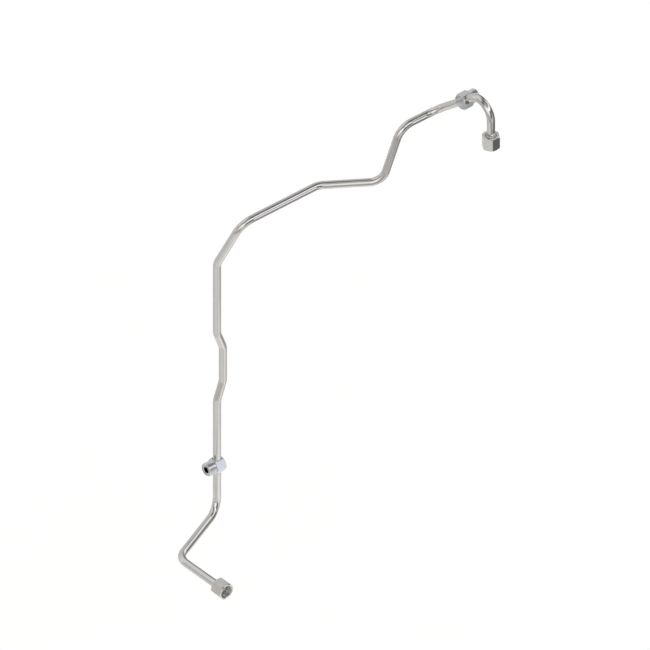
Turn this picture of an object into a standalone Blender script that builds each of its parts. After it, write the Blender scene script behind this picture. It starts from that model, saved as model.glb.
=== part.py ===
"""Hydraulic oil line: a bent steel tube with two brazed-in tees and a swivel nut at each end.

Metres, +Z up. The origin is the centre of the lower seal face, where the line starts along +Y.
A direction is a heading, turned from +X towards +Y, and a rise above level, both in degrees.
"""

import math

import bmesh
import bpy
from mathutils import Matrix, Vector

# Tube
TUBE_OUTER = 0.012
TUBE_WALL = 0.0015
BEND_RADIUS = 0.025

# Route from the lower port to the upper port, each length from corner to corner
INLET_LENGTH = 0.097
OFFSET_LENGTH = 0.1275
OFFSET_HEADING = 24.4
LOWER_RISER_LENGTH = 0.1975
JOG_WIDTH = 0.01115
JOG_HEIGHT = 0.030
MIDDLE_RISER_LENGTH = 0.0605
UPPER_RISER_LENGTH = 0.125
LEAN_LENGTH = 0.0895
LEAN_HEADING = -61.0
LEAN_RISE = 64.9
LONG_RUN_LENGTH = 0.1435
DOGLEG_LENGTH = 0.093
DOGLEG_HEADING = -34.5
CLIMB_LENGTH = 0.0985
CLIMB_RISE = 74.3
TOP_RUN_LENGTH = 0.0685
SIDE_CLIMB_LENGTH = 0.156
SIDE_CLIMB_RISE = 40.0
DROP_LENGTH = 0.0895

# Brazed joints: the tube ends stand in sockets, with this gap all round and at the stop
BRAZE_GAP = 0.0003
SOCKET_COUNTERSINK = 0.0008

# Tees: a hexagon bar with a threaded stub, set along the riser and along the side climb
LOWER_TEE_ALONG = 0.0813
UPPER_TEE_ALONG = 0.080
TEE_ACROSS_FLATS = 0.0225
TEE_BODY_LENGTH = 0.017
TEE_STOP_LAND = 0.0008
STUB_THREAD_OUTER = 0.0206
STUB_REACH = 0.0208
STUB_RIM_CHAMFER = 0.0009
STUB_BORE = 0.010
NECK_OUTER = 0.0184
NECK_LENGTH = 0.0022
GROOVE_INNER = 0.0124
GROOVE_WIDTH = 0.0019
GROOVE_DEPTH = 0.0013

# Sleeves: the flat-faced ends that the nuts pull against a port
SLEEVE_BORE = 0.009
SLEEVE_FLANGE_OUTER = 0.0182
SLEEVE_FLANGE_LENGTH = 0.004
SLEEVE_COLLAR_OUTER = 0.0152
SLEEVE_STICKS_OUT = 0.0006
SLEEVE_SOCKET_DEPTH = 0.007
SLEEVE_EDGE = 0.0004

# Swivel nuts
NUT_ACROSS_FLATS = 0.024
NUT_LENGTH = 0.0208
NUT_AHEAD_OF_FACE = 0.0096
NUT_THREAD_BORE = 0.019
NUT_MOUTH = 0.0208
NUT_BACK_CHAMFER = 0.0004
NUT_SWIVEL_GAP = 0.0006
NUT_SHOULDER_GAP = 0.0003
LOWER_NUT_TURN = 24.5
UPPER_NUT_TURN = 31.0

# Hexagon corners: each end is chamfered to a circle of this share of the width across flats
END_CIRCLE_SHARE = 0.98
CORNER_CHAMFER_ANGLE = 30.0

# Fineness of the round forms
TUBE_BEVEL_STEPS = 8
DEGREES_PER_BEND_STEP = 11.0
TURN_STEPS = 40
OVERCUT = 0.002

UP = Vector((0, 0, 1))
ALONG_X = Vector((1, 0, 0))
WELD = 0.000001


def clear_scene():
    for old in list(bpy.data.objects):
        bpy.data.objects.remove(old, do_unlink=True)


def new_collection(name):
    made = bpy.data.collections.new(name)
    bpy.context.scene.collection.children.link(made)
    return made


def steel(name, colour, roughness):
    """A Principled metal of one colour."""
    made = bpy.data.materials.new(name)
    made.use_nodes = True
    shader = made.node_tree.nodes["Principled BSDF"]
    shader.inputs["Base Color"].default_value = (*colour, 1.0)
    shader.inputs["Roughness"].default_value = roughness
    shader.inputs["Metallic"].default_value = 1.0
    return made


# Directions and frames


def direction(heading, rise):
    heading, rise = math.radians(heading), math.radians(rise)
    level = math.cos(rise)
    return Vector((level * math.cos(heading), level * math.sin(heading), math.sin(rise)))


def frame_at(origin, z_axis, x_axis, turn=0.0):
    """The matrix that puts a local Z and X on these world axes, turned about Z in degrees."""
    y_axis = z_axis.cross(x_axis)
    axes = Matrix((x_axis, y_axis, z_axis)).transposed().to_4x4()
    return Matrix.Translation(origin) @ axes @ Matrix.Rotation(math.radians(turn), 4, "Z")


# Route


def route_corners():
    """The centre line's start, corners and end, by name of the leg that leads to each."""
    jog_rise = math.degrees(math.atan2(JOG_HEIGHT, JOG_WIDTH))
    jog_length = math.hypot(JOG_WIDTH, JOG_HEIGHT)
    legs = (
        ("inlet", INLET_LENGTH, direction(90, 0)),
        ("offset", OFFSET_LENGTH, direction(OFFSET_HEADING, 0)),
        ("lower_riser", LOWER_RISER_LENGTH, UP),
        ("jog_out", jog_length, direction(0, jog_rise)),
        ("middle_riser", MIDDLE_RISER_LENGTH, UP),
        ("jog_back", jog_length, direction(180, jog_rise)),
        ("upper_riser", UPPER_RISER_LENGTH, UP),
        ("lean", LEAN_LENGTH, direction(LEAN_HEADING, LEAN_RISE)),
        ("long_run", LONG_RUN_LENGTH, ALONG_X),
        ("dogleg", DOGLEG_LENGTH, direction(DOGLEG_HEADING, 0)),
        ("climb", CLIMB_LENGTH, direction(DOGLEG_HEADING, CLIMB_RISE)),
        ("top_run", TOP_RUN_LENGTH, ALONG_X),
        ("side_climb", SIDE_CLIMB_LENGTH, direction(-90, SIDE_CLIMB_RISE)),
        ("drop", DROP_LENGTH, -UP),
    )
    corners = {"lower_port": Vector((0, 0, 0))}
    for name, length, way in legs:
        previous = corners[list(corners)[-1]]
        corners[name] = previous + length * way
    return corners


def between(corners, first, last):
    """The corners from the end of one leg to the end of another."""
    names = list(corners)
    return [corners[name] for name in names[names.index(first) : names.index(last) + 1]]


def bent_path(points):
    """The path with each inner corner rounded to the bend radius."""
    path = [points[0]]
    for before, corner, after in zip(points, points[1:], points[2:]):
        arriving = (corner - before).normalized()
        leaving = (after - corner).normalized()
        angle = arriving.angle(leaving)
        start = corner - arriving * BEND_RADIUS * math.tan(angle / 2)
        inward = (leaving - arriving * arriving.dot(leaving)).normalized()
        steps = max(2, math.ceil(math.degrees(angle) / DEGREES_PER_BEND_STEP))
        for step in range(steps + 1):
            turned = angle * step / steps
            across = inward * (1 - math.cos(turned))
            path.append(start + BEND_RADIUS * (arriving * math.sin(turned) + across))
    path.append(points[-1])
    return path


# Shapes


def mesh_object(name, bm, collection, material=None):
    mesh = bpy.data.meshes.new(name)
    bm.to_mesh(mesh)
    bm.free()
    made = bpy.data.objects.new(name, mesh)
    collection.objects.link(made)
    if material:
        mesh.materials.append(material)
    return made


def hexagon_bar(name, across_flats, low, high, collection, material):
    """A hexagonal bar along local Z with two of its flats facing local X."""
    bm = bmesh.new()
    radius = across_flats / math.sqrt(3)
    corners = [math.radians(30 + 60 * k) for k in range(6)]
    ring = [bm.verts.new((radius * math.cos(a), radius * math.sin(a), low)) for a in corners]
    base = bm.faces.new(ring)
    raised = bmesh.ops.extrude_face_region(bm, geom=[base])["geom"]
    top = [part for part in raised if isinstance(part, bmesh.types.BMVert)]
    bmesh.ops.translate(bm, verts=top, vec=(0, 0, high - low))
    bmesh.ops.recalc_face_normals(bm, faces=bm.faces)
    return mesh_object(name, bm, collection, material)


def turned(name, profile, collection, material=None, closed=False):
    """A form turned about local Z. The profile is (radius, z), down its outer side."""
    bm = bmesh.new()
    points = [bm.verts.new((radius, 0, z)) for radius, z in profile]
    for a, b in zip(points, points[1:]):
        bm.edges.new((a, b))
    if closed:
        bm.edges.new((points[-1], points[0]))
    made = mesh_object(name, bm, collection, material)
    screw = made.modifiers.new("turn", "SCREW")
    screw.angle = math.tau
    screw.steps = TURN_STEPS
    screw.render_steps = TURN_STEPS
    screw.use_merge_vertices = True
    screw.merge_threshold = WELD
    screw.use_smooth_shade = True
    return made


def combine(target, operation, other):
    boolean = target.modifiers.new(operation.lower(), "BOOLEAN")
    boolean.operation = operation
    boolean.solver = "EXACT"
    boolean.object = other


def tool(made, matrix=None, parent=None):
    """Marks an object as one that only shapes others."""
    made.hide_render = True
    made.display_type = "WIRE"
    made.parent = parent
    if matrix:
        made.matrix_local = matrix
    return made


def chamfer_envelope(name, across_flats, low, high, tools):
    """The turned blank of a hexagon bar, which takes its corners off at both ends.

    Its cones run on beyond the bar's ends, so that no two faces lie in one plane.
    """
    corner_radius = across_flats / math.sqrt(3) + OVERCUT
    end_radius = across_flats / 2 * END_CIRCLE_SHARE
    slope = math.tan(math.radians(CORNER_CHAMFER_ANGLE))
    drop = (corner_radius - end_radius) * slope
    tip_radius = end_radius - OVERCUT / slope
    profile = (
        (0, high + OVERCUT),
        (tip_radius, high + OVERCUT),
        (corner_radius, high - drop),
        (corner_radius, low + drop),
        (tip_radius, low - OVERCUT),
        (0, low - OVERCUT),
    )
    return tool(turned(name, profile, tools))


# Pieces


def tube_section(name, points, collection, material):
    """A bent tube along these corners, open at both ends."""
    curve = bpy.data.curves.new(name + "_line", "CURVE")
    curve.dimensions = "3D"
    curve.bevel_depth = TUBE_OUTER / 2
    curve.bevel_resolution = TUBE_BEVEL_STEPS
    curve.use_fill_caps = False
    path = bent_path(points)
    spline = curve.splines.new("POLY")
    spline.points.add(len(path) - 1)
    for point, place in zip(spline.points, path):
        point.co = (*place, 1)
    line = bpy.data.objects.new(name + "_line", curve)
    bpy.context.scene.collection.objects.link(line)
    bpy.context.view_layer.update()
    skin = bpy.data.meshes.new_from_object(line.evaluated_get(bpy.context.evaluated_depsgraph_get()))
    bpy.data.objects.remove(line, do_unlink=True)
    bm = bmesh.new()
    bm.from_mesh(skin)
    bmesh.ops.remove_doubles(bm, verts=bm.verts, dist=WELD)
    for face in bm.faces:
        face.smooth = True
    made = mesh_object(name, bm, collection, material)
    wall = made.modifiers.new("wall", "SOLIDIFY")
    wall.thickness = TUBE_WALL
    wall.offset = -1
    wall.use_even_offset = True
    return made


def tee(name, centre, stub_way, tube_way, collection, tools, material):
    """A hexagon body that the tube crosses flat to flat, with a face-seal stub along local Z."""
    half_body = TEE_BODY_LENGTH / 2
    half_flats = TEE_ACROSS_FLATS / 2
    body = hexagon_bar(name, TEE_ACROSS_FLATS, -half_body, half_body, collection, material)
    body.matrix_world = frame_at(centre, stub_way, tube_way)
    blank = chamfer_envelope(name + "_blank", TEE_ACROSS_FLATS, -half_body, half_body, tools)
    blank.parent = body
    combine(body, "INTERSECT", blank)

    thread_radius = STUB_THREAD_OUTER / 2
    neck_radius = NECK_OUTER / 2
    neck_end = half_body + NECK_LENGTH
    stub_profile = (
        (0, STUB_REACH),
        (thread_radius - STUB_RIM_CHAMFER, STUB_REACH),
        (thread_radius, STUB_REACH - STUB_RIM_CHAMFER),
        (thread_radius, neck_end + (thread_radius - neck_radius)),
        (neck_radius, neck_end),
        (neck_radius, 0),
        (0, 0),
    )
    combine(body, "UNION", tool(turned(name + "_stub", stub_profile, tools), parent=body))

    # The bore through the body: a socket from each flat, a countersink at its mouth, a land between
    socket_radius = TUBE_OUTER / 2 + BRAZE_GAP
    stop = tee_stop()
    mouth = half_flats - SOCKET_COUNTERSINK
    beyond = half_flats + OVERCUT
    wide = socket_radius + SOCKET_COUNTERSINK + OVERCUT
    bore = TUBE_OUTER / 2 - TUBE_WALL
    half_profile = ((0, beyond), (wide, beyond), (socket_radius, mouth), (socket_radius, stop), (bore, stop))
    bore_profile = half_profile + tuple((r, -z) for r, z in reversed(half_profile))
    across = Matrix.Rotation(math.radians(90), 4, "Y")
    combine(body, "DIFFERENCE", tool(turned(name + "_run", bore_profile, tools), across, body))

    branch_profile = ((0, STUB_REACH + OVERCUT), (STUB_BORE / 2, STUB_REACH + OVERCUT), (STUB_BORE / 2, 0), (0, 0))
    combine(body, "DIFFERENCE", tool(turned(name + "_branch", branch_profile, tools), parent=body))

    groove_floor = STUB_REACH - GROOVE_DEPTH
    groove_outer = GROOVE_INNER / 2 + GROOVE_WIDTH
    groove_profile = (
        (groove_outer, STUB_REACH + OVERCUT),
        (groove_outer, groove_floor),
        (GROOVE_INNER / 2, groove_floor),
        (GROOVE_INNER / 2, STUB_REACH + OVERCUT),
    )
    groove = turned(name + "_groove", groove_profile, tools, closed=True)
    combine(body, "DIFFERENCE", tool(groove, parent=body))
    return body


def tee_stop():
    """How far from a tee's centre its sockets end, clear of the branch bore."""
    return STUB_BORE / 2 + TEE_STOP_LAND


def sleeve_length():
    return NUT_LENGTH - NUT_AHEAD_OF_FACE + SLEEVE_STICKS_OUT


def sleeve(name, port, collection, material):
    """A brazed sleeve: the flat seal face at local Z zero, and the tube's socket behind it."""
    length = sleeve_length()
    stop = length - SLEEVE_SOCKET_DEPTH
    flange_radius = SLEEVE_FLANGE_OUTER / 2
    collar_radius = SLEEVE_COLLAR_OUTER / 2
    socket_radius = TUBE_OUTER / 2 + BRAZE_GAP
    bore_radius = SLEEVE_BORE / 2
    profile = (
        (collar_radius - SLEEVE_EDGE, length),
        (collar_radius, length - SLEEVE_EDGE),
        (collar_radius, SLEEVE_FLANGE_LENGTH),
        (flange_radius - SLEEVE_EDGE, SLEEVE_FLANGE_LENGTH),
        (flange_radius, SLEEVE_FLANGE_LENGTH - SLEEVE_EDGE),
        (flange_radius, SLEEVE_EDGE),
        (flange_radius - SLEEVE_EDGE, 0),
        (bore_radius + SLEEVE_EDGE, 0),
        (bore_radius, SLEEVE_EDGE),
        (bore_radius, stop),
        (socket_radius, stop),
        (socket_radius, length - SLEEVE_EDGE),
        (socket_radius + SLEEVE_EDGE, length),
    )
    made = turned(name, profile, collection, material, closed=True)
    made.matrix_world = port
    return made


def nut(name, port, turn, collection, tools, material):
    """A swivel nut whose back wall holds the sleeve's flange; its origin is on the swivel axis."""
    front = -NUT_AHEAD_OF_FACE
    back = front + NUT_LENGTH
    body = hexagon_bar(name, NUT_ACROSS_FLATS, front, back, collection, material)
    body.matrix_world = port @ Matrix.Rotation(math.radians(turn), 4, "Z")
    blank = chamfer_envelope(name + "_blank", NUT_ACROSS_FLATS, front, back, tools)
    blank.parent = body
    combine(body, "INTERSECT", blank)

    shoulder = SLEEVE_FLANGE_LENGTH + NUT_SHOULDER_GAP
    thread_radius = NUT_THREAD_BORE / 2
    mouth_radius = NUT_MOUTH / 2
    back_radius = SLEEVE_COLLAR_OUTER / 2 + NUT_SWIVEL_GAP
    mouth_depth = mouth_radius - thread_radius
    bore_profile = (
        (0, back + OVERCUT),
        (back_radius + NUT_BACK_CHAMFER + OVERCUT, back + OVERCUT),
        (back_radius, back - NUT_BACK_CHAMFER),
        (back_radius, shoulder),
        (thread_radius, shoulder),
        (thread_radius, front + mouth_depth),
        (mouth_radius + OVERCUT, front - OVERCUT),
        (0, front - OVERCUT),
    )
    combine(body, "DIFFERENCE", tool(turned(name + "_bore", bore_profile, tools), parent=body))
    return body


# Assembly


def main():
    clear_scene()
    line = new_collection("hydraulic_oil_line")
    tools = new_collection("shaping_tools")
    tube_steel = steel("plated_tube", (0.62, 0.61, 0.585), 0.26)
    tee_steel = steel("plated_tee", (0.58, 0.585, 0.59), 0.24)
    sleeve_steel = steel("plated_sleeve", (0.60, 0.59, 0.57), 0.28)
    nut_steel = steel("plated_nut", (0.56, 0.55, 0.53), 0.30)

    corners = route_corners()
    lower_port = frame_at(corners["lower_port"], direction(90, 0), ALONG_X)
    upper_port = frame_at(corners["drop"], UP, ALONG_X)
    side_way = direction(-90, SIDE_CLIMB_RISE)
    lower_tee_centre = corners["offset"] + UP * LOWER_TEE_ALONG
    upper_tee_centre = corners["top_run"] + side_way * UPPER_TEE_ALONG

    tee_inset = tee_stop() + BRAZE_GAP
    sleeve_inset = sleeve_length() - SLEEVE_SOCKET_DEPTH + BRAZE_GAP
    tube_section(
        "lower_tube",
        [direction(90, 0) * sleeve_inset]
        + between(corners, "inlet", "offset")
        + [lower_tee_centre - UP * tee_inset],
        line,
        tube_steel,
    )
    tube_section(
        "middle_tube",
        [lower_tee_centre + UP * tee_inset]
        + between(corners, "lower_riser", "top_run")
        + [upper_tee_centre - side_way * tee_inset],
        line,
        tube_steel,
    )
    tube_section(
        "upper_tube",
        [upper_tee_centre + side_way * tee_inset]
        + between(corners, "side_climb", "side_climb")
        + [corners["drop"] + UP * sleeve_inset],
        line,
        tube_steel,
    )
    tee("lower_tee", lower_tee_centre, -ALONG_X, UP, line, tools, tee_steel)
    tee("upper_tee", upper_tee_centre, ALONG_X, side_way, line, tools, tee_steel)
    sleeve("lower_sleeve", lower_port, line, sleeve_steel)
    sleeve("upper_sleeve", upper_port, line, sleeve_steel)
    nut("lower_nut", lower_port, LOWER_NUT_TURN, line, tools, nut_steel)
    nut("upper_nut", upper_port, UPPER_NUT_TURN, line, tools, nut_steel)


main()
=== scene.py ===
"""The looks of the hydraulic oil line: finer pieces with real threads, plated steel finishes, camera and studio."""

import math

import bmesh
import bpy
from mathutils import Matrix, Vector


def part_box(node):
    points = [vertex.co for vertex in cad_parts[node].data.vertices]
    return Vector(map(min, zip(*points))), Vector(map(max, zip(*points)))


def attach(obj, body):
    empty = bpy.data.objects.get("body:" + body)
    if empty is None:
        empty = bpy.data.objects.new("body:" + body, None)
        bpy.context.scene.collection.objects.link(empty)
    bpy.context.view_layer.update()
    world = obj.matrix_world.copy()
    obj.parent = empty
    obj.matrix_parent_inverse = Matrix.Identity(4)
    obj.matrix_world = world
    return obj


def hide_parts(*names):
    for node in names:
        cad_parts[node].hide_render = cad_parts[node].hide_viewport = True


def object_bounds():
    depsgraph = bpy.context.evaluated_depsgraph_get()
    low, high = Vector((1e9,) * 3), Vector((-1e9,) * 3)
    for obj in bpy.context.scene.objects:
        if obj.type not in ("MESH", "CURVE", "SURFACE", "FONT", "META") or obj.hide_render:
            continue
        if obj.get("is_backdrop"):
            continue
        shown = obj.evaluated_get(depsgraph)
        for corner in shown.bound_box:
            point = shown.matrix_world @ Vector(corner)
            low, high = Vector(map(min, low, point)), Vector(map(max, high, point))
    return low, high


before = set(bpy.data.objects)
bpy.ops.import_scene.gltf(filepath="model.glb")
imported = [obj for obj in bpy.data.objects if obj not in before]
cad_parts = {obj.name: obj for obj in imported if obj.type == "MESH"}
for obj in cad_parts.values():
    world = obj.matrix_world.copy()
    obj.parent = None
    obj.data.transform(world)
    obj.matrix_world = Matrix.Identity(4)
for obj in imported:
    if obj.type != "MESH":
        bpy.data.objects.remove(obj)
cad_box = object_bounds()

# Tube and route, as in the CAD: each length runs from corner to corner
TUBE_OUTER = 0.012
TUBE_WALL = 0.0015
BEND_RADIUS = 0.025
INLET_LENGTH = 0.097
OFFSET_LENGTH = 0.1275
OFFSET_HEADING = 24.4
LOWER_RISER_LENGTH = 0.1975
JOG_WIDTH = 0.01115
JOG_HEIGHT = 0.030
MIDDLE_RISER_LENGTH = 0.0605
UPPER_RISER_LENGTH = 0.125
LEAN_LENGTH = 0.0895
LEAN_HEADING = -61.0
LEAN_RISE = 64.9
LONG_RUN_LENGTH = 0.1435
DOGLEG_LENGTH = 0.093
DOGLEG_HEADING = -34.5
CLIMB_LENGTH = 0.0985
CLIMB_RISE = 74.3
TOP_RUN_LENGTH = 0.0685
SIDE_CLIMB_LENGTH = 0.156
SIDE_CLIMB_RISE = 40.0
DROP_LENGTH = 0.0895

# Fittings, as in the CAD
BRAZE_GAP = 0.0003
SOCKET_COUNTERSINK = 0.0008
LOWER_TEE_ALONG = 0.0813
UPPER_TEE_ALONG = 0.080
TEE_ACROSS_FLATS = 0.0225
TEE_BODY_LENGTH = 0.017
TEE_STOP_LAND = 0.0008
STUB_THREAD_OUTER = 0.0206
STUB_REACH = 0.0208
STUB_RIM_CHAMFER = 0.0009
STUB_BORE = 0.010
NECK_OUTER = 0.0184
NECK_LENGTH = 0.0022
GROOVE_INNER = 0.0124
GROOVE_WIDTH = 0.0019
GROOVE_DEPTH = 0.0013
SLEEVE_BORE = 0.009
SLEEVE_FLANGE_OUTER = 0.0182
SLEEVE_FLANGE_LENGTH = 0.004
SLEEVE_COLLAR_OUTER = 0.0152
SLEEVE_STICKS_OUT = 0.0006
SLEEVE_SOCKET_DEPTH = 0.007
SLEEVE_EDGE = 0.0004
NUT_ACROSS_FLATS = 0.024
NUT_LENGTH = 0.0208
NUT_AHEAD_OF_FACE = 0.0096
NUT_THREAD_BORE = 0.019
NUT_MOUTH = 0.0208
NUT_BACK_CHAMFER = 0.0004
NUT_SWIVEL_GAP = 0.0006
NUT_SHOULDER_GAP = 0.0003
LOWER_NUT_TURN = 24.5
UPPER_NUT_TURN = 31.0
END_CIRCLE_SHARE = 0.98
CORNER_CHAMFER_ANGLE = 30.0

# Detail that only the looks have
THREAD_PITCH = 0.0015875
THREAD_DEPTH = 0.00075
THREAD_CREST_SHARE = 0.2
THREAD_FLANK_SHARE = 0.275
THREAD_ROWS_PER_PITCH = 16
STUB_THREAD_GAIN = 0.7  # share of its depth that the thread gains in each pitch from the neck
HEX_CORNER_ROUND = 0.0005
HEX_CORNER_STEPS = (0.6, 1.15)
EDGE_ROUND = 0.00018
EDGE_SHARE_ROUNDED = 0.4
FILLET_UP_TUBE = 0.0009
FILLET_SUNK = 0.0004
FILLET_BITE = 0.00004
FILLET_STEPS = 7
FILLET_TURNS = 72
TURNS_AROUND = 96
TUBE_SIDES = 64
BEND_DEGREES_PER_RING = 2.5

# Slack in two tests: is a face part of a cut, and does a finer piece fill its node's box
CUT_SLACK = 0.000018
BOX_SLACK = 0.0008

UP = Vector((0, 0, 1))
ALONG_X = Vector((1, 0, 0))
ALONG_Y = Vector((0, 1, 0))


# Directions, frames and the route


def direction(heading, rise):
    """A unit vector from a heading, turned from +X towards +Y, and a rise above level, in degrees."""
    heading, rise = math.radians(heading), math.radians(rise)
    level = math.cos(rise)
    return Vector((level * math.cos(heading), level * math.sin(heading), math.sin(rise)))


def frame_at(origin, z_axis, x_axis):
    """The matrix that puts a local Z and X on these world axes."""
    axes = Matrix((x_axis, z_axis.cross(x_axis), z_axis)).transposed().to_4x4()
    return Matrix.Translation(origin) @ axes


SIDE_WAY = direction(-90, SIDE_CLIMB_RISE)


def route_corners():
    """The centre line's start, corners and end, by name of the leg that leads to each."""
    jog_rise = math.degrees(math.atan2(JOG_HEIGHT, JOG_WIDTH))
    jog_length = math.hypot(JOG_WIDTH, JOG_HEIGHT)
    legs = (
        ("inlet", INLET_LENGTH, ALONG_Y),
        ("offset", OFFSET_LENGTH, direction(OFFSET_HEADING, 0)),
        ("lower_riser", LOWER_RISER_LENGTH, UP),
        ("jog_out", jog_length, direction(0, jog_rise)),
        ("middle_riser", MIDDLE_RISER_LENGTH, UP),
        ("jog_back", jog_length, direction(180, jog_rise)),
        ("upper_riser", UPPER_RISER_LENGTH, UP),
        ("lean", LEAN_LENGTH, direction(LEAN_HEADING, LEAN_RISE)),
        ("long_run", LONG_RUN_LENGTH, ALONG_X),
        ("dogleg", DOGLEG_LENGTH, direction(DOGLEG_HEADING, 0)),
        ("climb", CLIMB_LENGTH, direction(DOGLEG_HEADING, CLIMB_RISE)),
        ("top_run", TOP_RUN_LENGTH, ALONG_X),
        ("side_climb", SIDE_CLIMB_LENGTH, SIDE_WAY),
        ("drop", DROP_LENGTH, -UP),
    )
    corners = {"lower_port": Vector((0, 0, 0))}
    for name, length, way in legs:
        previous = corners[list(corners)[-1]]
        corners[name] = previous + length * way
    return corners


CORNERS = route_corners()
LOWER_TEE_CENTRE = CORNERS["offset"] + UP * LOWER_TEE_ALONG
UPPER_TEE_CENTRE = CORNERS["top_run"] + SIDE_WAY * UPPER_TEE_ALONG
LOWER_PORT = frame_at(CORNERS["lower_port"], ALONG_Y, ALONG_X)
UPPER_PORT = frame_at(CORNERS["drop"], UP, ALONG_X)
TEE_STOP = STUB_BORE / 2 + TEE_STOP_LAND
SLEEVE_LENGTH = NUT_LENGTH - NUT_AHEAD_OF_FACE + SLEEVE_STICKS_OUT
SOCKET_RADIUS = TUBE_OUTER / 2 + BRAZE_GAP


def between(first, last):
    """The corners from the end of one leg to the end of another."""
    names = list(CORNERS)
    return [CORNERS[name] for name in names[names.index(first) : names.index(last) + 1]]


def bent_path(points):
    """(place, tangent) pairs along the path, with each inner corner rounded to the bend radius."""
    start_way = (points[1] - points[0]).normalized()
    path = [(points[0], start_way)]
    for before, corner, after in zip(points, points[1:], points[2:]):
        arriving = (corner - before).normalized()
        leaving = (after - corner).normalized()
        angle = arriving.angle(leaving)
        start = corner - arriving * BEND_RADIUS * math.tan(angle / 2)
        inward = (leaving - arriving * arriving.dot(leaving)).normalized()
        steps = max(2, math.ceil(math.degrees(angle) / BEND_DEGREES_PER_RING))
        for step in range(steps + 1):
            turned = angle * step / steps
            across = inward * (1 - math.cos(turned))
            place = start + BEND_RADIUS * (arriving * math.sin(turned) + across)
            path.append((place, arriving * math.cos(turned) + inward * math.sin(turned)))
    path.append((points[-1], (points[-1] - points[-2]).normalized()))
    return path


# Mesh building


def finish_mesh(name, bm, matrix=None):
    """Links a mesh object that is shaded smooth all over."""
    if matrix:
        bmesh.ops.transform(bm, matrix=matrix, verts=bm.verts)
    bmesh.ops.recalc_face_normals(bm, faces=bm.faces)
    for face in bm.faces:
        face.smooth = True
    mesh = bpy.data.meshes.new(name)
    bm.to_mesh(mesh)
    bm.free()
    made = bpy.data.objects.new(name, mesh)
    bpy.context.scene.collection.objects.link(made)
    return made


def weighted_normals(piece):
    """Lets the piece's large flat faces keep their own normals."""
    weighted = piece.modifiers.new("flat_faces", "WEIGHTED_NORMAL")
    weighted.weight = 100  # the most that a large face can count
    weighted.keep_sharp = True


def even_turns(count=TURNS_AROUND):
    """Angles round one full turn."""
    return [math.tau * step / count for step in range(count)]


def hexagon_turns():
    """Even turns with closer ones at the six corners, so that a corner is an arc between true flats."""
    angles = even_turns()
    for corner in range(6):
        middle = math.tau * (corner + 0.5) / 6
        angles += [middle + side * math.radians(step) for step in HEX_CORNER_STEPS for side in (-1, 1)]
    return sorted(angles)


def revolve(name, loop_at, closed, matrix=None, angles=None):
    """A form about local Z from loop_at(angle), a list of (radius, z). An open loop ends on the axis.

    UVs are in metres: round the form at its mean radius, and along the loop.
    """
    angles = angles or even_turns()
    bm = bmesh.new()
    uv = bm.loops.layers.uv.new("metres")
    first = loop_at(0.0)
    count = len(first)
    ends = () if closed else (0, count - 1)
    poles = {k: bm.verts.new((0, 0, first[k][1])) for k in ends}
    rings, lengths = [], []
    for angle in angles:
        loop = loop_at(angle)
        c, s = math.cos(angle), math.sin(angle)
        rings.append([poles.get(k) or bm.verts.new((r * c, r * s, z)) for k, (r, z) in enumerate(loop)])
        run = [0.0]
        for (r0, z0), (r1, z1) in zip(loop, loop[1:] + loop[:1]):
            run.append(run[-1] + math.hypot(r1 - r0, z1 - z0))
        lengths.append(run)
    mean_radius = sum(r for r, _ in first) / count
    for step, (angle, after_angle) in enumerate(zip(angles, angles[1:] + [math.tau])):
        here, there = rings[step], rings[(step + 1) % len(rings)]
        u = (mean_radius * angle, mean_radius * after_angle)
        for k in range(count if closed else count - 1):
            after = (k + 1) % count
            corners = (
                (here[k], u[0], lengths[step][k]),
                (here[after], u[0], lengths[step][k + 1]),
                (there[after], u[1], lengths[step][k + 1]),
                (there[k], u[1], lengths[step][k]),
            )
            kept = []  # at a pole two corners are one, and the face is a triangle
            for corner in corners:
                if corner[0] not in [old[0] for old in kept]:
                    kept.append(corner)
            face = bm.faces.new([corner[0] for corner in kept])
            for face_corner, (_, across, along) in zip(face.loops, kept):
                face_corner[uv].uv = (across, along)
    return finish_mesh(name, bm, matrix)


def softened(points, closed, steps=2):
    """The loop with each corner turned into a small arc, so every edge catches light."""
    count = len(points)
    out = []
    for k, (r, z) in enumerate(points):
        if not closed and k in (0, count - 1):
            out.append((r, z))
            continue
        here = Vector((r, z))
        before = Vector(points[k - 1]) - here
        after = Vector(points[(k + 1) % count]) - here
        cut = min(EDGE_ROUND, before.length * EDGE_SHARE_ROUNDED, after.length * EDGE_SHARE_ROUNDED)
        start, end = here + before.normalized() * cut, here + after.normalized() * cut
        for step in range(steps + 1):
            t = step / steps
            out.append(tuple(start * (1 - t) ** 2 + here * 2 * t * (1 - t) + end * t**2))
    return out


def hex_radius(angle, across_flats):
    """How far a hexagon's side lies from its axis, with rounded corners and flats facing 0, 60, ... degrees."""
    off = (angle + math.pi / 6) % (math.pi / 3) - math.pi / 6
    flat = across_flats / 2 / math.cos(off)
    corner_centre = (across_flats / 2 - HEX_CORNER_ROUND) / math.cos(math.pi / 6)
    to_corner = math.pi / 6 - abs(off)
    reach = corner_centre * math.sin(to_corner)
    if reach >= HEX_CORNER_ROUND * math.sin(math.pi / 6):
        return flat
    return corner_centre * math.cos(to_corner) + math.sqrt(HEX_CORNER_ROUND**2 - reach**2)


def hex_outline(angle, across_flats, low, high):
    """The outer side of a chamfered hexagon bar at one angle, from its low end circle to its high one."""
    end_radius = across_flats / 2 * END_CIRCLE_SHARE
    side = hex_radius(angle, across_flats)
    drop = (side - end_radius) * math.tan(math.radians(CORNER_CHAMFER_ANGLE))
    return [(end_radius, low), (side, low + drop), (side, high - drop), (end_radius, high)]


def thread_cut(angle, z):
    """How deep a right-hand thread is cut at this place, from its crest."""
    phase = (z / THREAD_PITCH - angle / math.tau) % 1.0
    from_crest = abs(phase - 0.5) - THREAD_CREST_SHARE / 2
    return THREAD_DEPTH * min(1.0, max(0.0, from_crest / THREAD_FLANK_SHARE))


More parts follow.
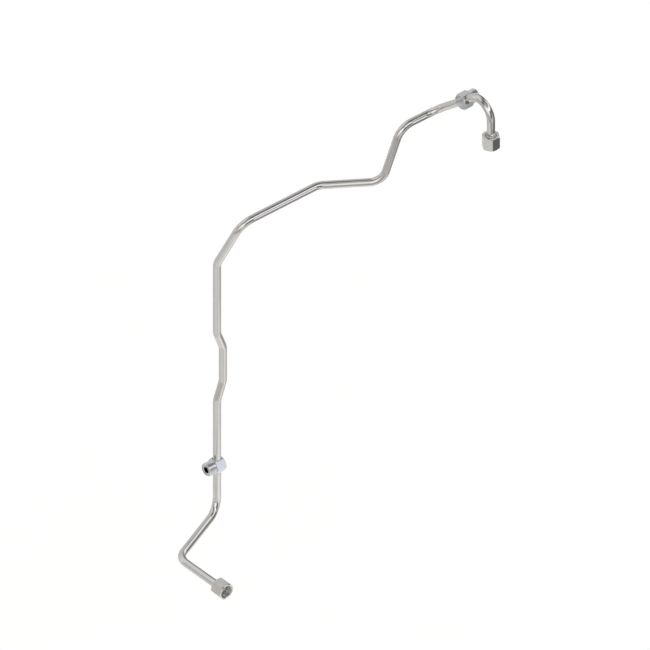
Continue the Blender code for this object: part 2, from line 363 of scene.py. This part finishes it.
def thread_rows(low, high):
    """The heights of a thread's rows of vertices."""
    count = round((high - low) / THREAD_PITCH * THREAD_ROWS_PER_PITCH)
    return [low + (high - low) * k / count for k in range(count + 1)]


# Pieces


def tube(name, points):
    """A bent tube with its bore, swept with rings that keep their turn from one to the next."""
    radii = (TUBE_OUTER / 2, TUBE_OUTER / 2 - TUBE_WALL)
    path = bent_path(points)
    bm = bmesh.new()
    uv = bm.loops.layers.uv.new("metres")
    across = path[0][1].orthogonal().normalized()
    rings, runs = [], [0.0]
    for k, (place, way) in enumerate(path):
        if k:
            across = path[k - 1][1].rotation_difference(way) @ across
            runs.append(runs[-1] + (place - path[k - 1][0]).length)
        side = way.cross(across)
        spokes = [across * math.cos(turn) + side * math.sin(turn) for turn in even_turns(TUBE_SIDES)]
        rings.append([[bm.verts.new(place + spoke * radius) for spoke in spokes] for radius in radii])
    for before, after, start, end in zip(rings, rings[1:], runs, runs[1:]):
        for wall, radius in enumerate(radii):
            for s in range(TUBE_SIDES):
                t = (s + 1) % TUBE_SIDES
                face = bm.faces.new((before[wall][s], before[wall][t], after[wall][t], after[wall][s]))
                left, right = (math.tau * radius * step / TUBE_SIDES for step in (s, s + 1))
                places = ((left, start), (right, start), (right, end), (left, end))
                for face_corner, at in zip(face.loops, places):
                    face_corner[uv].uv = at
    for outer, inner in (rings[0], rings[-1]):
        for s in range(TUBE_SIDES):
            t = (s + 1) % TUBE_SIDES
            bm.faces.new((outer[s], outer[t], inner[t], inner[s]))
    made = finish_mesh(name, bm)
    weighted_normals(made)
    return made


def nut(name, port, turn):
    """A swivel nut with its internal thread cut from the mouth to the relief before the shoulder."""
    front = -NUT_AHEAD_OF_FACE
    back = front + NUT_LENGTH
    shoulder = SLEEVE_FLANGE_LENGTH + NUT_SHOULDER_GAP
    minor = NUT_THREAD_BORE / 2
    back_radius = SLEEVE_COLLAR_OUTER / 2 + NUT_SWIVEL_GAP
    relief = shoulder - THREAD_PITCH
    rows = thread_rows(front, relief)

    def loop_at(angle):
        sides = hex_outline(angle, NUT_ACROSS_FLATS, front, back)
        back_bore = [(back_radius + NUT_BACK_CHAMFER, back), (back_radius, back - NUT_BACK_CHAMFER)]
        solid = softened(sides + back_bore + [(back_radius, shoulder), (minor, shoulder)], False)
        thread = []
        for z in reversed(rows):
            fade = min(1.0, (relief - z) / THREAD_PITCH)
            groove = minor + (THREAD_DEPTH - thread_cut(angle, z)) * fade
            mouth = NUT_MOUTH / 2 - (z - front)  # a 45 degree countersink
            thread.append((max(groove, mouth), z))
        return solid + thread

    made = revolve(name, loop_at, True, port @ Matrix.Rotation(math.radians(turn), 4, "Z"), hexagon_turns())
    weighted_normals(made)
    return made


def sleeve(name, port):
    """A brazed sleeve with its flat seal face at local Z zero."""
    length = SLEEVE_LENGTH
    stop = length - SLEEVE_SOCKET_DEPTH
    flange_radius = SLEEVE_FLANGE_OUTER / 2
    collar_radius = SLEEVE_COLLAR_OUTER / 2
    bore_radius = SLEEVE_BORE / 2
    profile = [
        (bore_radius, stop),
        (bore_radius, SLEEVE_EDGE),
        (bore_radius + SLEEVE_EDGE, 0),
        (flange_radius - SLEEVE_EDGE, 0),
        (flange_radius, SLEEVE_EDGE),
        (flange_radius, SLEEVE_FLANGE_LENGTH - SLEEVE_EDGE),
        (flange_radius - SLEEVE_EDGE, SLEEVE_FLANGE_LENGTH),
        (collar_radius, SLEEVE_FLANGE_LENGTH),
        (collar_radius, length - SLEEVE_EDGE),
        (collar_radius - SLEEVE_EDGE, length),
        (SOCKET_RADIUS + SLEEVE_EDGE, length),
        (SOCKET_RADIUS, length - SLEEVE_EDGE),
        (SOCKET_RADIUS, stop),
    ]
    loop = softened(profile, True, steps=3)
    made = revolve(name, lambda angle: loop, True, port)
    weighted_normals(made)
    return made


def tee_blank(name, matrix):
    """The tee before its run bore is cut: hexagon body, neck, threaded stub, branch bore and face groove."""
    half_body = TEE_BODY_LENGTH / 2
    crest = STUB_THREAD_OUTER / 2
    bore = STUB_BORE / 2
    neck_end = half_body + NECK_LENGTH
    groove_outer = GROOVE_INNER / 2 + GROOVE_WIDTH
    groove_floor = STUB_REACH - GROOVE_DEPTH
    rim = STUB_RIM_CHAMFER
    rows = thread_rows(neck_end, STUB_REACH)
    face = [
        (0, 0),
        (bore, 0),
        (bore, STUB_REACH - SLEEVE_EDGE),
        (bore + SLEEVE_EDGE, STUB_REACH),
        (GROOVE_INNER / 2, STUB_REACH),
        (GROOVE_INNER / 2, groove_floor),
        (groove_outer, groove_floor),
        (groove_outer, STUB_REACH),
        (crest - rim, STUB_REACH),
    ]

    def loop_at(angle):
        thread = []
        for z in reversed(rows[:-1]):
            fade = min(1.0, (z - neck_end) / THREAD_PITCH * STUB_THREAD_GAIN)
            cut = thread_cut(angle, z)
            chamfered = crest - rim + (STUB_REACH - z)
            runout = NECK_OUTER / 2 + (z - neck_end)
            thread.append((min(crest - cut * fade, chamfered, runout), z))
        sides = list(reversed(hex_outline(angle, TEE_ACROSS_FLATS, -half_body, half_body)))
        body = [(NECK_OUTER / 2, half_body)] + sides + [(0, -half_body)]
        return softened(face, False) + thread + softened(body, False)

    return revolve(name, loop_at, False, matrix, hexagon_turns())


def run_bore_cutter(name, matrix):
    """What is cut out of a tee along the tube: a flared socket from each side, and the bore that joins them."""
    half_flats = TEE_ACROSS_FLATS / 2
    beyond = half_flats + SOCKET_COUNTERSINK
    wide = SOCKET_RADIUS + 2 * SOCKET_COUNTERSINK
    bore = TUBE_OUTER / 2 - TUBE_WALL
    half = [
        (0, beyond),
        (wide, beyond),
        (SOCKET_RADIUS, half_flats - SOCKET_COUNTERSINK),
        (SOCKET_RADIUS, TEE_STOP),
        (bore, TEE_STOP),
    ]
    loop = half + [(r, -z) for r, z in reversed(half)]
    return revolve(name, lambda angle: loop, False, matrix)


def sharpen_cut(mesh, matrix):
    """Marks the edges where a tee's sockets open as sharp, so that the flats round them stay flat."""
    to_tee = matrix.inverted()
    flare_start = TEE_ACROSS_FLATS / 2 - SOCKET_COUNTERSINK

    def is_cut(face):
        place = to_tee @ face.calc_center_median()
        along = abs(place.x)
        away = math.hypot(place.y, place.z) - CUT_SLACK
        if along < TEE_STOP - EDGE_ROUND:
            return away < TUBE_OUTER / 2 - TUBE_WALL
        return away < SOCKET_RADIUS + max(0.0, along - flare_start)

    bm = bmesh.new()
    bm.from_mesh(mesh)
    for edge in bm.edges:
        edge.smooth = len({is_cut(face) for face in edge.link_faces}) == 1
    bm.to_mesh(mesh)
    bm.free()


def tee(name, centre, stub_way, tube_way):
    """A branch tee: its blank, with the run bore cut through the flats."""
    matrix = frame_at(centre, stub_way, tube_way)
    body = tee_blank(name, matrix)
    cutter = run_bore_cutter(name + "_cutter", matrix @ Matrix.Rotation(math.radians(90), 4, "Y"))
    boolean = body.modifiers.new("run", "BOOLEAN")
    boolean.operation = "DIFFERENCE"
    boolean.solver = "EXACT"
    boolean.object = cutter
    graph = bpy.context.evaluated_depsgraph_get()
    cut = bpy.data.meshes.new_from_object(body.evaluated_get(graph))
    body.modifiers.clear()
    body.data = cut
    bpy.data.objects.remove(cutter, do_unlink=True)
    sharpen_cut(cut, matrix)
    weighted_normals(body)
    return body


def braze_fillet(name, matrix):
    """The concave ring of filler from the tube down into the flared socket whose mouth is at local Z zero."""
    tube_radius = TUBE_OUTER / 2 - FILLET_BITE
    foot = SOCKET_RADIUS + SOCKET_COUNTERSINK - FILLET_SUNK
    curve = []
    for step in range(FILLET_STEPS + 1):
        t = math.pi / 2 * step / FILLET_STEPS
        out = foot - (foot - tube_radius) * math.sin(t)
        curve.append((out, -FILLET_SUNK + (FILLET_UP_TUBE + FILLET_SUNK) * (1 - math.cos(t))))
    loop = [(tube_radius, -SOCKET_COUNTERSINK), (foot, -SOCKET_COUNTERSINK)] + curve
    made = revolve(name, lambda angle: loop, True, matrix, even_turns(FILLET_TURNS))
    weighted_normals(made)
    return made


# Finishes


CLOUD_SCALE = 55.0
CLOUD_DETAIL = 4.0
# Where on the cloud the tint starts and ends, and its share of the colour there
TINT_RANGE = ((0.3, 0.965), (0.7, 1.03))
ROUGHNESS_SPREAD = 0.035
FINE_GRAIN = 4000.0
FINE_GRAIN_DEPTH = 0.0000015
GRAIN_DETAIL = 2.0
GRAIN_STRENGTH = 0.25


def plated_steel(name, colour, roughness, grain=(1.0, 1.0, 1.0), grain_scale=FINE_GRAIN, grain_depth=FINE_GRAIN_DEPTH):
    """Bright plating: a faint cloud in its tint and gloss, and a fine machined or drawn grain."""
    made = bpy.data.materials.new(name)
    made.use_nodes = True
    nodes, links = made.node_tree.nodes, made.node_tree.links
    shader = nodes["Principled BSDF"]
    shader.inputs["Metallic"].default_value = 1.0
    # Plain values, for where the nodes are not read
    shader.inputs["Roughness"].default_value = roughness
    shader.inputs["Base Color"].default_value = (*colour, 1.0)
    place = nodes.new("ShaderNodeTexCoord")

    cloud = nodes.new("ShaderNodeTexNoise")
    cloud.inputs["Scale"].default_value = CLOUD_SCALE
    cloud.inputs["Detail"].default_value = CLOUD_DETAIL
    links.new(place.outputs["Object"], cloud.inputs["Vector"])
    tint = nodes.new("ShaderNodeValToRGB")
    for stop, (position, share) in zip(tint.color_ramp.elements, TINT_RANGE):
        stop.position = position
        stop.color = (*(share * c for c in colour), 1.0)
    links.new(cloud.outputs["Fac"], tint.inputs["Fac"])
    links.new(tint.outputs["Color"], shader.inputs["Base Color"])

    gloss = nodes.new("ShaderNodeMapRange")
    gloss.inputs["To Min"].default_value = roughness - ROUGHNESS_SPREAD
    gloss.inputs["To Max"].default_value = roughness + ROUGHNESS_SPREAD
    links.new(cloud.outputs["Fac"], gloss.inputs["Value"])
    links.new(gloss.outputs["Result"], shader.inputs["Roughness"])

    stretch = nodes.new("ShaderNodeMapping")
    stretch.inputs["Scale"].default_value = grain
    links.new(place.outputs["UV"], stretch.inputs["Vector"])
    lines = nodes.new("ShaderNodeTexNoise")
    lines.inputs["Scale"].default_value = grain_scale
    lines.inputs["Detail"].default_value = GRAIN_DETAIL
    links.new(stretch.outputs["Vector"], lines.inputs["Vector"])
    bump = nodes.new("ShaderNodeBump")
    bump.inputs["Strength"].default_value = GRAIN_STRENGTH
    bump.inputs["Distance"].default_value = grain_depth
    links.new(lines.outputs["Fac"], bump.inputs["Height"])
    links.new(bump.outputs["Normal"], shader.inputs["Normal"])
    return made


# Camera, in the photograph's trimetric view


PHOTO_SIDE = 650
METRES_PER_PIXEL = 0.001437
ORIGIN_PIXEL = (222.50, 589.05)
VIEW_AZIMUTH = -40.2
VIEW_ELEVATION = 36.94
CAMERA_DISTANCE = 3.0
CAMERA_RANGE = 20.0


def make_camera():
    """A camera without perspective that puts the frame's origin on its pixel of the photograph."""
    azimuth, elevation = math.radians(VIEW_AZIMUTH), math.radians(VIEW_ELEVATION)
    right = Vector((math.cos(azimuth), math.sin(azimuth), 0))
    back = Vector(
        (math.sin(azimuth) * math.cos(elevation), -math.cos(azimuth) * math.cos(elevation), math.sin(elevation))
    )
    upward = back.cross(right)
    middle = PHOTO_SIDE / 2
    to_right = (middle - ORIGIN_PIXEL[0]) * METRES_PER_PIXEL
    to_top = (ORIGIN_PIXEL[1] - middle) * METRES_PER_PIXEL
    data = bpy.data.cameras.new("photo_view")
    data.type = "ORTHO"
    data.ortho_scale = PHOTO_SIDE * METRES_PER_PIXEL
    data.clip_end = CAMERA_RANGE
    camera = bpy.data.objects.new("photo_view", data)
    camera.location = right * to_right + upward * to_top + back * CAMERA_DISTANCE
    camera.rotation_mode = "QUATERNION"
    camera.rotation_quaternion = (-back).to_track_quat("-Z", "Y")
    bpy.context.scene.collection.objects.link(camera)
    bpy.context.scene.camera = camera


# Studio: a dim room with soft boxes, over a pale floor that the metal sees lit in a wide pool with five spots


ROOM_LEVEL = 0.175
CEILING_LEVEL = 0.04
# Headings crowd together as they climb, and a box keeps its true width up to this rise
STEEPEST_TRUE_RISE = 60.0
SOFT_BOXES = (
    # heading, rise, half width, half height, edge softness (degrees), brightness, tint
    (-59.0, 0.5, 3.5, 16.0, 7.0, 1.70, (0.96, 0.98, 1.09)),
    (-65.5, 39.5, 36.0, 7.0, 2.0, 1.77, (1.02, 1.00, 0.97)),
    (2.0, 27.0, 12.0, 21.5, 13.0, 1.31, (1.01, 1.00, 0.99)),
    (90.0, -11.0, 45.0, 38.5, 7.0, 0.58, (1.02, 1.00, 0.96)),
    (115.5, 51.0, 28.5, 21.5, 6.5, 0.76, (1.00, 1.00, 1.00)),
    (-143.0, 24.0, 26.5, 17.5, 9.5, 1.25, (1.02, 1.01, 0.97)),
    (149.0, 15.0, 38.0, 15.0, 5.5, 0.26, (1.05, 1.00, 0.94)),
    (-171.0, -7.0, 56.0, 17.0, 12.0, 0.44, (1.04, 1.00, 0.95)),
    (52.5, 45.0, 13.0, 14.0, 2.5, 0.57, (0.98, 1.00, 1.03)),
    (-106.0, 60.0, 26.5, 25.5, 2.0, 0.37, (1.02, 1.00, 0.99)),
    (-89.5, -23.5, 25.0, 15.5, 4.0, 0.60, (1.00, 1.00, 1.00)),
)


def math_step(nodes, links, operation, source, *values, clamp=False):
    """The result of a math node on the source socket and the values, which are numbers or sockets."""
    made = nodes.new("ShaderNodeMath")
    made.operation = operation
    made.use_clamp = clamp
    links.new(source, made.inputs[0])
    for socket, value in zip(made.inputs[1:], values):
        if isinstance(value, bpy.types.NodeSocket):
            links.new(value, socket)
        else:
            socket.default_value = value
    return made.outputs[0]


def soft_edge(nodes, links, source, half, softness):
    """One inside a half width, nothing outside it, with a smooth step between."""
    step = nodes.new("ShaderNodeMapRange")
    step.interpolation_type = "SMOOTHSTEP"
    step.inputs["From Min"].default_value = half + softness
    step.inputs["From Max"].default_value = half - softness
    links.new(math_step(nodes, links, "ABSOLUTE", source), step.inputs["Value"])
    return step.outputs["Result"]


def soft_box(nodes, links, heading, rise, place, half_width, half_height, softness, brightness, tint):
    """A box of light at this place in the surroundings, as a colour: heading and rise are sockets in degrees."""
    turn = math_step(nodes, links, "SUBTRACT", heading, place[0])
    turn = math_step(nodes, links, "WRAP", turn, 180.0, -180.0)
    narrowing = math.cos(math.radians(min(abs(place[1]), STEEPEST_TRUE_RISE)))
    turn = math_step(nodes, links, "MULTIPLY", turn, narrowing)
    climb = math_step(nodes, links, "SUBTRACT", rise, place[1])
    across = soft_edge(nodes, links, turn, half_width, softness)
    upright = soft_edge(nodes, links, climb, half_height, softness)
    glow = nodes.new("ShaderNodeVectorMath")
    glow.operation = "SCALE"
    glow.inputs[0].default_value = [brightness * c for c in tint]
    links.new(math_step(nodes, links, "MULTIPLY", across, upright), glow.inputs["Scale"])
    return glow.outputs["Vector"]


def make_world():
    """The room and its soft boxes light the line, and the camera sees white."""
    world = bpy.data.worlds.new("studio")
    bpy.context.scene.world = world
    world.use_nodes = True
    nodes, links = world.node_tree.nodes, world.node_tree.links
    way = nodes.new("ShaderNodeSeparateXYZ")
    links.new(nodes.new("ShaderNodeTexCoord").outputs["Generated"], way.inputs[0])
    x, y, z = way.outputs
    heading = math_step(nodes, links, "DEGREES", math_step(nodes, links, "ARCTAN2", y, x))
    rise = math_step(nodes, links, "DEGREES", math_step(nodes, links, "ARCSINE", z))
    ceiling = math_step(nodes, links, "MULTIPLY", z, CEILING_LEVEL, clamp=True)
    room = nodes.new("ShaderNodeVectorMath")
    room.operation = "ADD"
    room.inputs[1].default_value = (ROOM_LEVEL,) * 3
    links.new(ceiling, room.inputs[0])
    total = room.outputs["Vector"]
    for box_heading, box_rise, *shape in SOFT_BOXES:
        added = nodes.new("ShaderNodeVectorMath")
        added.operation = "ADD"
        links.new(total, added.inputs[0])
        links.new(soft_box(nodes, links, heading, rise, (box_heading, box_rise), *shape), added.inputs[1])
        total = added.outputs["Vector"]
    background = nodes["Background"]
    links.new(total, background.inputs["Color"])
    white = nodes.new("ShaderNodeBackground")
    white.inputs["Color"].default_value = (1, 1, 1, 1)
    rays = nodes.new("ShaderNodeLightPath")
    mix = nodes.new("ShaderNodeMixShader")
    links.new(rays.outputs["Is Camera Ray"], mix.inputs["Fac"])
    links.new(background.outputs["Background"], mix.inputs[1])
    links.new(white.outputs["Background"], mix.inputs[2])
    links.new(mix.outputs["Shader"], nodes["World Output"].inputs["Surface"])


FLOOR_HALF_SIDE = 6.0
FLOOR_DROP = 0.205

# What the camera sees: a matt floor, lifted to white
FLOOR_ALBEDO = 0.8
FLOOR_ROUGHNESS = 0.9
FLOOR_LIFT = 0.42

# What the metal sees: an even pool of light with brighter spots
FLOOR_LEVEL = 0.775
FLOOR_TINT = (1.01, 1.00, 0.98, 1.0)
# Centre, radius and edge softness in metres, then level or added brightness
FLOOR_POOL = ((-0.24, 0.85), 1.57, 0.55, 1.0)
FLOOR_SPOTS = (
    ((0.21, -0.21), 0.19, 0.12, 0.47),
    ((0.41, -0.67), 0.30, 0.14, 0.92),
    ((-0.68, -0.39), 0.59, 0.35, 0.16),
    ((-0.71, -0.82), 0.35, 0.19, 0.83),
    ((0.10, 0.19), 0.28, 0.11, 0.24),
)


def pool(nodes, links, place, centre, radius, softness, level):
    """The level inside a circle on the floor and zero outside it, with a smooth step between."""
    away = nodes.new("ShaderNodeVectorMath")
    away.operation = "DISTANCE"
    away.inputs[1].default_value = (*centre, 0)
    links.new(place, away.inputs[0])
    inside = nodes.new("ShaderNodeMapRange")
    inside.interpolation_type = "SMOOTHSTEP"
    inside.inputs["From Min"].default_value = radius + softness
    inside.inputs["From Max"].default_value = radius - softness
    inside.inputs["To Max"].default_value = level
    links.new(away.outputs["Value"], inside.inputs["Value"])
    return inside.outputs["Result"]


def make_floor():
    """The camera sees a pale floor that takes the line's shadow, and the metal reflects its pool and spots."""
    bm = bmesh.new()
    bmesh.ops.create_grid(bm, x_segments=1, y_segments=1, size=FLOOR_HALF_SIDE)
    floor = finish_mesh("floor", bm)
    floor.location.z = cad_box[0].z - FLOOR_DROP
    material = bpy.data.materials.new("pale_floor")
    material.use_nodes = True
    nodes, links = material.node_tree.nodes, material.node_tree.links
    matt = nodes["Principled BSDF"]
    matt.inputs["Base Color"].default_value = (FLOOR_ALBEDO,) * 3 + (1,)
    matt.inputs["Roughness"].default_value = FLOOR_ROUGHNESS
    matt.inputs["Emission Color"].default_value = (1, 1, 1, 1)
    matt.inputs["Emission Strength"].default_value = FLOOR_LIFT

    place = nodes.new("ShaderNodeTexCoord").outputs["Object"]
    brightness = FLOOR_LEVEL
    for spot in FLOOR_SPOTS:
        brightness = math_step(nodes, links, "ADD", pool(nodes, links, place, *spot), brightness)
    glow = nodes.new("ShaderNodeEmission")
    glow.inputs["Color"].default_value = FLOOR_TINT
    links.new(brightness, glow.inputs["Strength"])
    unlit = nodes.new("ShaderNodeBsdfTransparent")
    lit = nodes.new("ShaderNodeMixShader")
    links.new(pool(nodes, links, place, *FLOOR_POOL), lit.inputs["Fac"])
    links.new(unlit.outputs["BSDF"], lit.inputs[1])
    links.new(glow.outputs["Emission"], lit.inputs[2])

    rays = nodes.new("ShaderNodeLightPath")
    mix = nodes.new("ShaderNodeMixShader")
    links.new(rays.outputs["Is Camera Ray"], mix.inputs["Fac"])
    links.new(lit.outputs["Shader"], mix.inputs[1])
    links.new(matt.outputs["BSDF"], mix.inputs[2])
    links.new(mix.outputs["Shader"], nodes["Material Output"].inputs["Surface"])
    floor.data.materials.append(material)
    floor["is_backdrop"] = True


# Assembly


def dress(piece, node, body, material):
    """Puts the finer piece in the place of its CAD node, after seeing that it has the same box."""
    piece.data.materials.clear()
    piece.data.materials.append(material)
    low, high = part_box(node)
    corners = [piece.matrix_world @ vertex.co for vertex in piece.data.vertices]
    for axis in range(3):
        reach = (min(c[axis] for c in corners) - low[axis], max(c[axis] for c in corners) - high[axis])
        if max(map(abs, reach)) > BOX_SLACK:
            raise ValueError(f"{node} and its finer piece differ by {reach} m along axis {axis}")
    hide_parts(node)
    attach(piece, body)


def dress_line():
    """Makes every finer piece and the brazing filler, with their finishes and bodies."""
    drawn = plated_steel("drawn_plated_steel", (0.62, 0.61, 0.60), 0.15, grain=(1.0, 0.01, 1.0))
    turned = plated_steel("turned_plated_steel", (0.61, 0.605, 0.595), 0.13, grain=(0.01, 1.0, 1.0))
    branch = plated_steel("branch_plated_steel", (0.605, 0.62, 0.64), 0.13, grain=(0.01, 1.0, 1.0))
    machined = plated_steel("machined_plated_steel", (0.60, 0.595, 0.58), 0.16, grain=(1.0, 0.02, 1.0))
    filler = plated_steel("plated_braze", (0.58, 0.57, 0.54), 0.26, grain_scale=900.0, grain_depth=0.000003)

    tee_inset = TEE_STOP + BRAZE_GAP
    sleeve_inset = SLEEVE_LENGTH - SLEEVE_SOCKET_DEPTH + BRAZE_GAP
    lower = [ALONG_Y * sleeve_inset] + between("inlet", "offset") + [LOWER_TEE_CENTRE - UP * tee_inset]
    middle = [LOWER_TEE_CENTRE + UP * tee_inset] + between("lower_riser", "top_run")
    middle.append(UPPER_TEE_CENTRE - SIDE_WAY * tee_inset)
    upper = [UPPER_TEE_CENTRE + SIDE_WAY * tee_inset, CORNERS["side_climb"], CORNERS["drop"] + UP * sleeve_inset]
    for node, points in (("lower_tube", lower), ("middle_tube", middle), ("upper_tube", upper)):
        dress(tube(node + "_fine", points), node, "line", drawn)

    dress(tee("lower_tee_fine", LOWER_TEE_CENTRE, -ALONG_X, UP), "lower_tee", "line", branch)
    dress(tee("upper_tee_fine", UPPER_TEE_CENTRE, ALONG_X, SIDE_WAY), "upper_tee", "line", branch)
    dress(sleeve("lower_sleeve_fine", LOWER_PORT), "lower_sleeve", "line", turned)
    dress(sleeve("upper_sleeve_fine", UPPER_PORT), "upper_sleeve", "line", turned)
    dress(nut("lower_nut_fine", LOWER_PORT, LOWER_NUT_TURN), "lower_nut", "lower_nut", machined)
    dress(nut("upper_nut_fine", UPPER_PORT, UPPER_NUT_TURN), "upper_nut", "upper_nut", machined)

    half_flats = TEE_ACROSS_FLATS / 2
    joints = {
        "lower_tee_braze_below": frame_at(LOWER_TEE_CENTRE - UP * half_flats, -UP, ALONG_X),
        "lower_tee_braze_above": frame_at(LOWER_TEE_CENTRE + UP * half_flats, UP, ALONG_X),
        "upper_tee_braze_before": frame_at(UPPER_TEE_CENTRE - SIDE_WAY * half_flats, -SIDE_WAY, ALONG_X),
        "upper_tee_braze_after": frame_at(UPPER_TEE_CENTRE + SIDE_WAY * half_flats, SIDE_WAY, ALONG_X),
        "lower_sleeve_braze": LOWER_PORT @ Matrix.Translation((0, 0, SLEEVE_LENGTH)),
        "upper_sleeve_braze": UPPER_PORT @ Matrix.Translation((0, 0, SLEEVE_LENGTH)),
    }
    for name, matrix in joints.items():
        fillet = braze_fillet(name, matrix)
        fillet.data.materials.append(filler)
        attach(fillet, "line")
        "sleeve" if "sleeve" in name else "tee"


dress_line()
make_floor()
make_world()
make_camera()
bpy.context.scene.view_settings.view_transform = "Standard"

boxes = {"cad": cad_box, "visual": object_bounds()}
str({name: [list(low), list(high)] for name, (low, high) in boxes.items()}).replace("'", '"')
